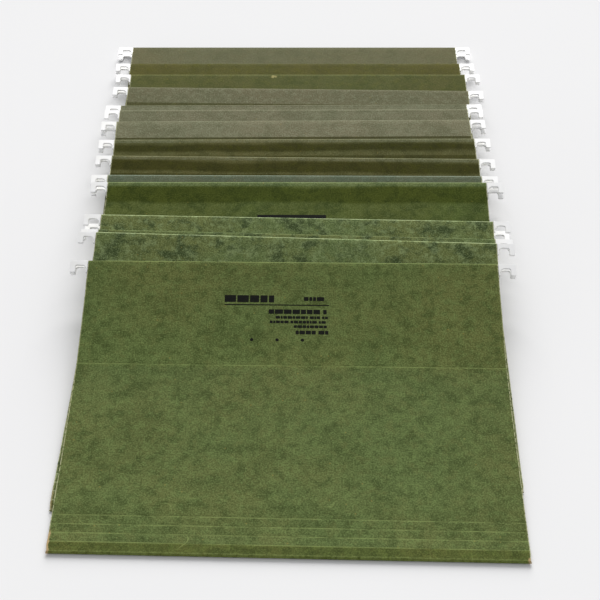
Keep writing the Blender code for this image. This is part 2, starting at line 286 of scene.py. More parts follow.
# ---------------------------------------------------------------- the card's patterns
# A layer is a noise, with the values of it at which the layer starts to show and shows fully. The
# scales of BLOTCHES and SPOTS are in times the tone's patch_scale. A warp is the scale and the
# reach of the noise that makes a pattern's edges ragged. A stretch is how far a pattern runs along
# each axis, and a turn is how far it is turned about Z, in radians. A share is how much of a layer
# shows where it shows fully. A plain noise is its scale and detail. A roughness is the plain one,
# and what a pattern adds to it. A bump is its distance and strength.
Layer = namedtuple("Layer", "scale detail roughness start full")
NOISE_MIDDLE = 0.5  # the middle of a noise's values
WARP_DETAIL = 2.0
DRIFT = Layer(9.0, 2.0, 0.5, 0.38, 0.62)
CLOUDS = Layer(42.0, 3.0, 0.55, 0.44, 0.62)
CLOUD_WARP = (30.0, 0.02)
CLOUD_SHARE = 0.34
STAINS = Layer(130.0, 3.0, 0.6, 0.50, 0.62)
STAIN_SHARE = 0.45
BLOTCHES = Layer(1.0, 4.0, 0.55, 0.48, 0.64)
BLOTCH_WARP = (120.0, 0.004)
SPOTS = Layer(2.1, 3.0, 0.6, 0.53, 0.68)
SPOT_WARP = (200.0, 0.002)
SPOT_SHARE = 0.6  # of the blotches' share
SPECKS = Layer(190.0, 4.0, 0.65, 0.47, 0.66)
GRAIN = (900.0, 3.0, 0.75)  # scale, detail and roughness
DARK_GRAIN = (0.48, 0.62)  # where it starts to show, and shows fully
PALE_GRAIN = (0.50, 0.36)
FIBRES = Layer(1.0, 2.0, 0.5, 0.58, 0.78)
FIBRE_STRETCH = (0.005, 0.0006, 1.0)
FIBRE_TURNS = (0.5, -0.9)
FIBRE_SHARE = 0.14
FLECK_SCALE = 190.0
FLECKLESS = 0.86  # share of the pattern's cells that have no fleck
FLECK_SIZE = (0.14, 0.05)  # in cells
FLECK_SHARE = 0.6
CARD_ROUGHNESS = (0.58, 0.2)
CARD_SPECULAR = 0.02
GRAIN_HEIGHT = 0.6
SPECK_HEIGHT = 0.5
FIBRE_HEIGHT = 0.35
CARD_BUMP = (0.00010, 0.5)

# ---------------------------------------------------------------- the card's wear, and how its painted bands of light and shade stray
# A pair of distances is where the wear starts to show and where it shows fully.
BAND_WANDER = 0.009  # how far the bands' edges stray, over the length of a cover
WANDER_NOISE = (1.0, 2.0)
WANDER_STRETCH = (0.06, 0.02, 1.0)
WANDER_START = (0.001, 0.006)  # from the top edge, which itself stays straight
BREAKS = Layer(1.0, 4.0, 0.7, 0.34, 0.60)
BREAK_STRETCH = (0.030, 0.004, 1.0)
CHIPS = Layer(330.0, 3.0, 0.7, 0.34, 0.56)
WORN_GROOVE = (0.00070, 0.00016)  # from the middle of a score or the crease
WORN_GROOVE_SHARE = 0.62
WORN_TOP = (0.0010, 0.0002)
WORN_SIDE = (0.0008, 0.0003)
WORN_FOLD = (0.0010, 0.0001)
WORN_FOLD_SHARE = 0.4
HAIR_NOISE = (22.0, 1.0)
HAIR_WIDTH = (0.0035, 0.0010)  # in the noise's values
HAIR_PLACES = Layer(40.0, 1.0, 0.5, 0.54, 0.60)
HAIR_REACH = (0.060, 0.010)  # from the fold
HAIR_SHARE = 0.8
WORN_SHARE = 0.75
CUT_SHARE = 0.85
SCUFFED_FOLDER = 11
SCUFF = (-0.0215, 0.0032, 0.0030, 0.0020)  # x, distance from the top edge, and half sizes
SCUFF_RIM = (1.2, 0.4)  # squared distances from its middle, in half sizes
SCUFF_SHARE = 0.9
FRAYED_FOLDER = 1
FRAYED_SHARE = 0.9
LESS_FRAYED_SHARE = 0.3
FRAYED_CORNER = (0.0036, 0.0020)  # from the corner at the fold
FRAYED_RIM = 0.0022  # how ragged the frayed corner's rim is
SPLIT_WIDTH = (0.0020, 0.0012)  # of the split card, from the left edge
SPLIT_LENGTH = (0.017, 0.012)  # and from the fold
SPLIT_RIM = 0.0006

# ---------------------------------------------------------------- coating, steel, ink and table
COATING_CLOUDS = Layer(120.0, 2.0, 0.5, 0.35, 0.75)
PEEL = (1500.0, 2.0)
COATING_SCUFFS = Layer(1.0, 4.0, 0.7, 0.63, 0.74)
COATING_SCUFF_STRETCH = (0.006, 0.0008, 0.002)
COATING_SCUFF_TURN = 0.3
COATING_SCUFF_SHARE = 0.35
COATING_ROUGHNESS = (0.42, 0.16)
COATING_SPECULAR = 1.0
COATING_GLAZE = (0.4, 0.45)  # weight and roughness of its clear outside
COATING_BUMP = (0.00003, 0.35)
ROLLING_MARKS = (1.0, 3.0)
ROLLING_STRETCH = (0.05, 0.0003, 0.0003)
SPANGLE = (260.0, 2.0)
STEEL_ROUGHNESS = (0.32, 0.2)
STEEL_BUMP = (0.00002, 0.4)
INK_WEAR = Layer(1400.0, 3.0, 0.7, 0.50, 0.78)
INK_ROUGHNESS = (0.7, 0.15)
INK_SPECULAR = 0.1
INK_BUMP = (0.00002, 0.3)
TABLE_CLOUDS = (3.0, 2.0)
TABLE_ROUGHNESS = 0.8
TABLE_SPECULAR = 0.05

# ---------------------------------------------------------------- stage, light and camera
FLOOR_HALF = 4.0
FLOOR_GAP = 0.00005  # from the table up to the pile
WORLD_COLOUR = (0.97, 0.98, 1.0, 1.0)
WORLD_STRENGTH = 0.48
# A large soft light far behind the pile, as (direction it comes from, angular size, strength)
BACK_LIGHT = ((0.06, 0.87, 0.42), 42.0, 4.4)
BACK_LIGHT_COLOUR = (1.0, 0.99, 0.98)
CAMERA_PLACE = (0.0065, -0.7402, 0.6568)
CAMERA_PITCH = 43.575  # degrees down
CAMERA_YAW = -0.138
CAMERA_ROLL = 0.205
CAMERA_LENS = 76.94  # mm

Cover = namedtuple("Cover", "place line width fold_askew edge_askew hem outward")


# ---------------------------------------------------------------- reading the CAD covers
def end_outline(bm, outward):
    """The corners round the end face of a cover's solid that faces outward, in order."""
    caps = {f for f in bm.faces if f.normal.dot(outward) > FACES_ALONG}
    neighbours = {}
    for face in caps:
        for edge in face.edges:
            if sum(f in caps for f in edge.link_faces) == 1:
                a, b = edge.verts
                neighbours.setdefault(a, set()).add(b)
                neighbours.setdefault(b, set()).add(a)
    start = min(neighbours, key=lambda v: tuple(v.co))
    loop = [start, min(neighbours[start], key=lambda v: tuple(v.co))]
    while len(loop) < len(neighbours):
        (onward,) = neighbours[loop[-1]] - {loop[-2]}
        loop.append(onward)
    return [v.co.copy() for v in loop]


def middle_line(outline):
    """The middle of a bent strip's closed outline, from its fold end to its hem end."""
    before = np.roll(outline, 1, axis=0)
    length = np.linalg.norm(outline - before, axis=1)
    ends = np.flatnonzero(np.abs(length - CARD) < WELD)
    start = min(ends, key=lambda i: outline[i, 0] + before[i, 0])
    turned = np.roll(outline, -start, axis=0)
    half = len(outline) // 2
    return (turned[:half] + turned[: half - 1 : -1]) / 2


def read_cover(number, half):
    """A CAD cover's place, and its middle line in the folder's own frame at X = 0.

    The CAD cover is a prism along X, sheared so that its fold and its top edge are askew.
    """
    joint = next(j for j in frame["joints"] if j["name"] == f"open_{number:02d}")
    bm = bmesh.new()
    bm.from_mesh(frame["nodes"][f"{half}_cover_{number:02d}"].data)
    bmesh.ops.remove_doubles(bm, verts=bm.verts, dist=WELD)
    bm.normal_update()
    side = max(bm.faces, key=lambda f: f.normal.x).normal
    across = Vector((side.x, side.y, 0)).normalized()
    place = Matrix.Translation(joint["pos_m"]) @ across.to_track_quat("X", "Z").to_matrix().to_4x4()
    to_own = place.inverted()
    right = np.array([to_own @ v for v in end_outline(bm, across)])
    left = np.array([to_own @ v for v in end_outline(bm, -across)])
    bm.free()
    width = right[0, 0] - left[0, 0]
    fold_askew = right[:, 1].min() - left[:, 1].min()
    edge_askew = right[:, 1].max() - left[:, 1].max()
    top = (right[:, 1].max() + left[:, 1].max()) / 2
    outline = left[:, 1:].copy()
    for _ in range(UNSHEAR_PASSES):
        outline[:, 0] = left[:, 1] + askew_at(outline[:, 0], top, fold_askew, edge_askew) / 2
    line = middle_line(outline)
    hem = len(line) - HEM_POINTS - 1
    return Cover(place, line, width, fold_askew, edge_askew, hem, 1 if half == "front" else -1)


def askew_at(along, top, fold_askew, edge_askew):
    """How much further back the right side of a cover is than its left side, at that place."""
    return fold_askew + (edge_askew - fold_askew) * np.clip(along / top, 0, 1)


# ---------------------------------------------------------------- a cover as a smooth sheet
class Sheet:
    """A cover's middle line, smoothed, and the place of any point on the card."""

    def __init__(self, cover, line, blur):
        self.cover = cover
        steps = np.hypot(*np.diff(line, axis=0).T)
        knots = np.concatenate([[0], np.cumsum(steps)])
        self.length = knots[-1]
        self.s = np.linspace(0, self.length, round(self.length / FINE) + 1)
        fine = np.column_stack([np.interp(self.s, knots, line[:, i]) for i in (0, 1)])
        self.hem = knots[cover.hem] if len(line) > cover.hem else self.length
        near_hem = np.clip((self.s - self.hem + 2 * blur) / blur, 0, 1)[:, None]
        wide, narrow = (smoothed(fine, length) for length in (blur, HEM_BLUR))
        self.points = wide * (1 - near_hem) + narrow * near_hem
        along = np.gradient(self.points, axis=0)
        along /= np.linalg.norm(along, axis=1)[:, None]
        self.normals = cover.outward * np.column_stack([-along[:, 1], along[:, 0]])

    def at(self, x, s, height):
        """World points at x across the cover and s up it, that far out from the card's middle."""
        middle = [np.interp(s, self.s, self.points[:, i]) for i in (0, 1)]
        normal = [np.interp(s, self.s, self.normals[:, i]) for i in (0, 1)]
        y, z = (m + height * n for m, n in zip(middle, normal))
        top = self.cover.line[: self.cover.hem + 1, 0].max() + HEM_TOP
        askew = askew_at(y, top, self.cover.fold_askew, self.cover.edge_askew)
        y = y + askew * x / self.cover.width
        own = np.stack(np.broadcast_arrays(x, y, z, 1.0), axis=-1)
        return (own @ np.array(self.cover.place).T)[..., :3]


def smoothed(points, length):
    """A running mean over that length, with the ends carried on in a straight line."""
    n = max(1, round(length / FINE / 2))
    before = 2 * points[0] - points[n:0:-1]
    after = 2 * points[-1] - points[-2 : -n - 2 : -1]
    padded = np.concatenate([before, points, after])
    kernel = np.ones(2 * n + 1) / (2 * n + 1)
    return np.column_stack([np.convolve(padded[:, i], kernel, "valid") for i in (0, 1)])


def waves(seed, lengths, x, s):
    """Smooth bumps from -1 to 1, a sum of waves of those lengths in random directions."""
    random = np.random.default_rng(seed)
    total = 0.0
    for length in lengths:
        turn, phase = random.uniform(0, 2 * math.pi, 2)
        travel = x * math.cos(turn) + s * math.sin(turn)
        total = total + np.sin(travel * 2 * math.pi / length + phase)
    return total / len(lengths)


def relief(sheet, seed, x, s):
    """How far the card's surface stands out: its slow waves, less its scores and its crease."""
    grooves = 0.0
    for line in GROOVES:
        grooves = grooves + np.exp(-(((s - line) / GROOVE_HALF_WIDTH) ** 2))
    still = np.clip((sheet.hem - s) / CALM_LENGTH, 0, 1) * np.clip(s / CALM_LENGTH, 0, 1)
    return WARP * still * waves(seed, WARP_LENGTHS, x, s) - GROOVE_DEPTH * grooves


def rows_up(sheet):
    """Where a cover has rows of points: close together at its grooves and round its hem."""
    rows = [np.arange(0, sheet.hem, ROW_STEP), np.arange(sheet.hem, sheet.length, HEM_ROW_STEP)]
    for line in GROOVES:
        rows.append(line + np.array(GROOVE_ROWS))
    ordered = np.unique(np.concatenate([*rows, [sheet.length]]))
    kept = np.concatenate([[True], np.diff(ordered) > ROW_MERGE])
    kept[-1] = True
    return ordered[kept]


def columns_across(width):
    """Where a cover has columns of points: close together at its side edges."""
    half = width / 2
    inner = half - EDGE_COLUMNS[-1]
    middle = np.linspace(-inner, inner, round(2 * inner / COLUMN_STEP) + 1)
    edge = half - np.array(EDGE_COLUMNS[:-1])
    return np.concatenate([-edge, middle, edge[::-1]])


def worn_edges(x, s, from_side, from_fold, seed):
    """x across a strip, moved where its cut edges stray and its corners at the fold are worn."""
    wear = CORNER_WEAR * np.exp(-np.abs(from_fold) / CORNER_WEAR)
    wobble = EDGE_WOBBLE * waves(seed + 1, EDGE_WAVES, np.sign(x), s)
    near_edge = np.clip(1 - from_side / EDGE_COLUMNS[-1], 0, 1)
    return x + np.sign(x) * (wobble - wear) * near_edge


def strip_faces(shape, outward):
    """The point numbers of a strip's faces: its outer side, its inner side and its rim.

    Points are numbered row by row, first the outer side's and then the inner side's.
    """
    number = np.arange(math.prod(shape)).reshape(shape)
    near, far = number[:-1], number[1:]
    corners = [near[:, :-1], near[:, 1:], far[:, 1:], far[:, :-1]]
    outer = np.stack(corners, axis=-1).reshape(-1, len(corners))
    border = np.concatenate([number[0], number[1:, -1], number[-1, -2::-1], number[-2:0:-1, 0]])
    onward = np.roll(border, -1)
    rim = np.stack([border, border + number.size, onward + number.size, onward], axis=-1)
    if outward < 0:
        outer = outer[:, ::-1]
        rim = rim[:, ::-1]
    return outer, outer[:, ::-1] + number.size, rim


def strip_mesh(name, sheet, rows, seed, s_start=0.0):
    """A strip of card with rounded side edges, its surface relief and its own coordinates.

    Its attributes are for the materials: card is the place on the flat card, rim the distances
    from its side edge, its top edge and its fold, and cut is 1 on its cut faces.
    """
    x, s = np.meshgrid(columns_across(sheet.cover.width), rows)
    from_side = sheet.cover.width / 2 - np.abs(x)
    from_fold = s + s_start
    from_top = np.abs(from_fold - sheet.hem - HEM_RADIUS)
    moved = worn_edges(x, s, from_side, from_fold, seed)
    thinning = EDGE_THINNING + (1 - EDGE_THINNING) * np.clip(from_side / EDGE_COLUMNS[1], 0, 1)
    half = CARD / 2 * thinning
    raised = relief(sheet, seed, x, s) if s_start == 0 else 0 * x
    sides = [sheet.at(moved, s, raised + half), sheet.at(moved, s, raised - half)]
    outer, inner, rim = strip_faces(x.shape, sheet.cover.outward)
    mesh = bpy.data.meshes.new(name)
    points = np.concatenate([side.reshape(-1, 3) for side in sides])
    mesh.from_pydata(points.tolist(), [], np.concatenate([outer, inner, rim]).tolist())
    mesh.shade_smooth()
    mesh.set_sharp_from_angle(angle=SHARP_ANGLE)
    on_card = np.stack([moved, from_fold, np.full(x.shape, seed * PATTERN_STEP)], axis=-1)
    from_edges = np.stack([from_side, from_top, np.maximum(from_fold, 0)], axis=-1)
    for attribute, values in (("card", on_card), ("rim", from_edges)):
        made = mesh.attributes.new(attribute, "FLOAT_VECTOR", "POINT")
        made.data.foreach_set("vector", np.tile(values.reshape(-1, 3), (2, 1)).ravel())
    cut = mesh.attributes.new("cut", "FLOAT", "FACE")
    cut.data.foreach_set("value", np.repeat([0.0, 1.0], [len(outer) + len(inner), len(rim)]))
    return mesh


def add_piece(name, mesh, *materials):
    """Puts a piece in the scene, with its materials."""
    piece = bpy.data.objects.new(name, mesh)
    bpy.context.scene.collection.objects.link(piece)
    for material in materials:
        mesh.materials.append(material)
    return piece


def fold_line(back):
    """The rounded fold's middle line, from the end of the back cover's lip to the hinge."""
    radius = -back.line[LIP_POINTS, 1] / 2
    start = math.atan2(back.line[0, 1] + radius, back.line[0, 0]) % (2 * math.pi)
    angles = np.linspace(start, math.pi / 2, FOLD_POINTS)
    return radius * np.column_stack([np.cos(angles), np.sin(angles) - 1])


def add_fold(number, front, back, pressboard):
    """The curved strip of card round the fold, between the folder's two covers."""
    line = fold_line(back)
    edge = front._replace(hem=len(line), outward=1)
    sheet = Sheet(edge, line, HEM_BLUR)
    rows = np.linspace(0, sheet.length, FOLD_ROWS)
    mesh = strip_mesh(f"fold_strip_{number:02d}", sheet, rows, number, -sheet.length)
    piece = add_piece(mesh.name, mesh, pressboard)
    start, end = (sheet.at(0.0, s, 0.0) for s in (0.0, sheet.length))
    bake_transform(piece)


# ---------------------------------------------------------------- rods
def arc(centre, radius, start, end, steps):
    """Points of an arc between two angles in degrees, ends included."""
    angles = np.radians(np.linspace(start, end, steps + 1))
    return [(centre[0] + radius * math.cos(a), centre[1] + radius * math.sin(a)) for a in angles]


def tip_outline():
    """The right-hand hook: x from the card's side edge, y up the cover from its top edge."""
    r = TIP_ROUND
    foot = -TIP_DROP
    outer = TIP_REACH - PRONG_WIDTH
    inner = GAP + TIP_ROOT
    shoulder = (inner + NOTCH_SHOULDER, -TIP_BAR - NOTCH_SHOULDER)
    return [
        *arc((GAP + TIP_EASE, -TIP_EASE), TIP_EASE, 180, 90, CORNER_STEPS),
        *arc((TIP_REACH - r, -r), r, 90, 0, CORNER_STEPS),
        *arc((TIP_REACH - r, foot + r), r, 0, -90, CORNER_STEPS),
        *arc((outer + r, foot + r), r, -90, -180, CORNER_STEPS),
        *arc((outer - NOTCH_CORNER, -TIP_BAR - NOTCH_CORNER), NOTCH_CORNER, 0, 90, CORNER_STEPS),
        *arc(shoulder, NOTCH_SHOULDER, 90, 180, 2 * CORNER_STEPS),
        (inner, foot + TIP_EASE),
        (GAP, foot + TIP_EASE),
    ]


def add_plate(bm, outline, thickness, rounding, material_index):
    """Adds a flat plate of that outline with rounded rims, its thickness about z = 0."""
    face = bm.faces.new([bm.verts.new((x, y, -thickness / 2)) for x, y in outline])
    pushed = bmesh.ops.extrude_face_region(bm, geom=[face])["geom"]
    far = [v for v in pushed if isinstance(v, bmesh.types.BMVert)]
    bmesh.ops.translate(bm, verts=far, vec=(0, 0, thickness))
    plate = list(dict.fromkeys([face, *(f for v in far for f in v.link_faces)]))
    bmesh.ops.recalc_face_normals(bm, faces=plate)
    flat = [f for f in plate if abs(f.normal.z) > FACES_ALONG]
    rims = list(dict.fromkeys(e for f in flat for e in f.edges))
    for f in plate:
        f.material_index = material_index
    bmesh.ops.bevel(
        bm, geom=rims, offset=rounding, segments=RIM_SEGMENTS, affect="EDGES", clamp_overlap=True
    )


def put_in_order(parts, place):
    """Sorts a mesh's points or faces by where they are, as bevelling leaves them in any order."""
    in_order = sorted(parts, key=lambda part: tuple(place(part)))
    rank = {part: i for i, part in enumerate(in_order)}
    parts.sort(key=rank.get)


def rod_mesh(width):
    """A whole rod: x along it, y up the cover from its top edge, z across the card."""
    half = width / 2
    right = [(half + x, y) for x, y in tip_outline()]
    left = [(-x, y) for x, y in reversed(right)]
    reach = half + GAP + TIP_LAP
    high, low = -HEM_TOP, -HEM_TOP - STRIP_HEIGHT
    bm = bmesh.new()
    strip = [(-reach, low), (reach, low), (reach, high), (-reach, high)]
    add_plate(bm, strip, STRIP_THICKNESS, STRIP_ROUNDING, BARE)
    for outline in (right, left):
        add_plate(bm, outline, TIP_THICKNESS, TIP_ROUNDING, COATED)
    put_in_order(bm.verts, lambda v: v.co)
    put_in_order(bm.faces, lambda f: f.calc_center_median())
    mesh = bpy.data.meshes.new("rod")
    bm.to_mesh(mesh)
    bm.free()
    mesh.shade_smooth()
    mesh.set_sharp_from_angle(angle=SHARP_ANGLE)
    return mesh


def add_rod(name, cover, body, mesh, materials):
    """A rod in a cover's hem, in place of the CAD rod."""
    up = cover.line[cover.hem] - cover.line[cover.hem - 1]
    up /= np.linalg.norm(up)
    out = cover.outward * np.array([-up[1], up[0]])
    middle = cover.line[cover.hem] + HEM_TOP * up - HEM_RADIUS * out
    turn = Matrix.Rotation(math.atan(cover.edge_askew / cover.width), 4, "Z")
    tilt = Matrix.Rotation(math.atan2(up[1], up[0]), 4, "X")
    piece = add_piece(f"coated_{name}", mesh.copy(), *materials)
    piece.matrix_world = cover.place @ Matrix.Translation((0, *middle)) @ turn @ tilt
    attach(piece, body)
    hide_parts(name)


# ---------------------------------------------------------------- print
def bar(x0, x1, s0, s1):
    """A printed bar with cut corners, as columns of (x, lower s, upper s)."""
    cut = min(CUT_CORNER, (x1 - x0) / 4, (s1 - s0) / 4)
    inner = np.linspace(x0 + cut, x1 - cut, math.ceil((x1 - x0) / MARK_STEP) + 1)
    return [(x0, s0 + cut, s1 - cut), *((x, s0, s1) for x in inner), (x1, s0 + cut, s1 - cut)]


def dot(x, s):
    """A printed dot, as columns like a bar's."""
    turns = np.radians(np.linspace(-DOT_END, DOT_END, DOT_COLUMNS))
    half = DOT_RADIUS * np.cos(turns)
    return list(zip(x + DOT_RADIUS * np.sin(turns), s - half, s + half))


def blocks(x0, x1, s0, s1, random, group_sizes=GROUP_SIZES):
    """A line of small blocks in groups, which stands for a line of print without any letters."""
    height = s1 - s0
    marks = []
    x = x0
    while x < x1:
        for _ in range(random.integers(*group_sizes)):
            end = x + height * random.uniform(*BLOCK_WIDTHS)
            if end > x1:
                return marks
            marks.append(bar(x, end, s0, s1))
            x = end + height * BLOCK_GAP
        x += height * GROUP_GAP
    return marks


def print_marks(number):
    """The printed block's marks, in x across the cover and s up from its fold."""
    random = np.random.default_rng(PRINT_SEED)
    marks = blocks(PRINT_LEFT, PRINT_LEFT + HEAVY_LINE[0], *HEAVY_LINE[1:], random, ONE_GROUP)
    marks += blocks(PRINT_RIGHT - SMALL_LINE[0], PRINT_RIGHT, *SMALL_LINE[1:], random, ONE_GROUP)
    if number == SOLID_FOLDER:
        marks = [bar(*SOLID_TITLE)]
    marks.append(bar(PRINT_LEFT, PRINT_RIGHT, *RULE))
    for length, low, high in PRINT_LINES:
        marks += blocks(PRINT_RIGHT - length, PRINT_RIGHT, low, high, random)
    marks += [dot(FIRST_DOT + DOT_PITCH * i, DOT_UP) for i in range(DOTS)]
    return marks


def add_print(number, sheet, ink):
    """The printed block on a front cover, as a thin layer of ink that follows the card."""
    points, faces = [], []
    for mark in print_marks(number):
        x, low, high = np.array(mark).T
        corners = []
        for s, depth in ((low, INK), (high, INK), (high, -INK), (low, -INK)):
            corners.append(sheet.at(x, s, relief(sheet, number, x, s) + CARD / 2 + depth))
        n = len(corners)
        first = len(points)
        points += np.stack(corners, axis=1).reshape(-1, 3).tolist()
        last = len(points) - n
        for i in range(first, last, n):
            faces += [[i + k, i + n + k, i + n + (k + 1) % n, i + (k + 1) % n] for k in range(n)]
        faces.append(list(range(first, first + n)))
        faces.append(list(range(last + n - 1, last - 1, -1)))
    mesh = bpy.data.meshes.new(f"print_{number:02d}")
    mesh.from_pydata(points, [], faces)
    piece = add_piece(mesh.name, mesh, ink)
    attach(piece, f"folder_{number:02d}_front")


# ---------------------------------------------------------------- materials
class Graph:
    """A material's node tree, with short ways to add to it."""

    def __init__(self, name):
        self.material = bpy.data.materials.new(name)
        self.material.use_nodes = True
        self.tree = self.material.node_tree
        self.shader = self.tree.nodes["Principled BSDF"]

    def feed(self, socket, value):
        """Gives an input socket a value, or another node's output."""
        if isinstance(value, bpy.types.NodeSocket):
            self.tree.links.new(value, socket)
        else:
            socket.default_value = value

    def finished(self, inputs):
        """The material, once its shader's inputs are fed by name."""
        for key, value in inputs.items():
            self.feed(self.shader.inputs[key], value)
        return self.material

    def add(self, kind, inputs, output=0, **settings):
        """A node's output. inputs holds values and other nodes' outputs, by name or number."""
        made = self.tree.nodes.new(f"ShaderNode{kind}")
        for key, value in settings.items():
            setattr(made, key, value)
        for key, value in inputs.items():
            self.feed(made.inputs[key], value)
        return made.outputs[output]

    def attribute(self, name, output):
        return self.add("Attribute", {}, output, attribute_name=name)

    def own_place(self):
        """The place in the object's own frame."""
        return self.add("TexCoord", {}, "Object")

    def parts(self, vector):
        """A vector's X, Y and Z."""
        return self.add("SeparateXYZ", {"Vector": vector}).node.outputs

    def maths(self, operation, *values):
        return self.add("Math", dict(enumerate(values)), operation=operation)

    def plus(self, a, b):
        return self.maths("ADD", a, b)

    def minus(self, a, b):
        return self.maths("SUBTRACT", a, b)

    def times(self, a, b):
        return self.maths("MULTIPLY", a, b)

    def greater(self, a, b):
        """The greater of two values."""
        return self.maths("MAXIMUM", a, b)

    def share(self, value, low, high):
        """0 where value is at low or past it, 1 at high or past it, and smooth in between."""
        ends = {"Value": value, "From Min": low, "From Max": high}
        return self.add("MapRange", ends, interpolation_type="SMOOTHSTEP")

    def mix(self, share, a, b, how="MIX"):
        """Two colours mixed. 6 and 7 are the node's colour inputs, and 2 is its colour output."""
        return self.add("Mix", {0: share, 6: a, 7: b}, 2, data_type="RGBA", blend_type=how)

    def noise(self, place, scale, detail, roughness=0.5):
        inputs = {"Vector": place, "Scale": scale, "Detail": detail, "Roughness": roughness}
        return self.add("TexNoise", inputs)

    def layer(self, place, layer, fineness=1.0):
        """How much of a layer shows, from 0 to 1."""
        noise = self.noise(place, layer.scale * fineness, layer.detail, layer.roughness)
        return self.share(noise, layer.start, layer.full)

    def warped(self, place, scale, reach):
        """The place moved about by a noise, so that a pattern's edges are ragged."""
        inputs = {"Vector": place, "Scale": scale, "Detail": WARP_DETAIL}
        drift = self.add("TexNoise", inputs, "Color")
        moved = self.add("VectorMath", {0: drift, 1: (reach, reach, 0.0)}, operation="MULTIPLY")
        return self.add("VectorMath", {0: place, 1: moved}, operation="ADD")

    def stretched(self, place, stretch, turn=0.0):
        """The place turned about Z, then stretched along each axis, so that a pattern runs long."""
        inputs = {"Vector": place, "Rotation": (0, 0, turn), "Scale": stretch}
        return self.add("Mapping", inputs, vector_type="TEXTURE")

    def roughness(self, pattern, plain, added):
        """A roughness that rises where a pattern shows."""
        return self.plus(plain, self.times(pattern, added))

    def bump(self, height, distance, strength):
        inputs = {"Height": height, "Distance": distance, "Strength": strength}
        return self.add("Bump", inputs)


def linear(red, green, blue):
    """A colour given in display values from 0 to 255, as the shader takes it."""
    return tuple((value / 255) ** DISPLAY_GAMMA for value in (red, green, blue)) + (1.0,)


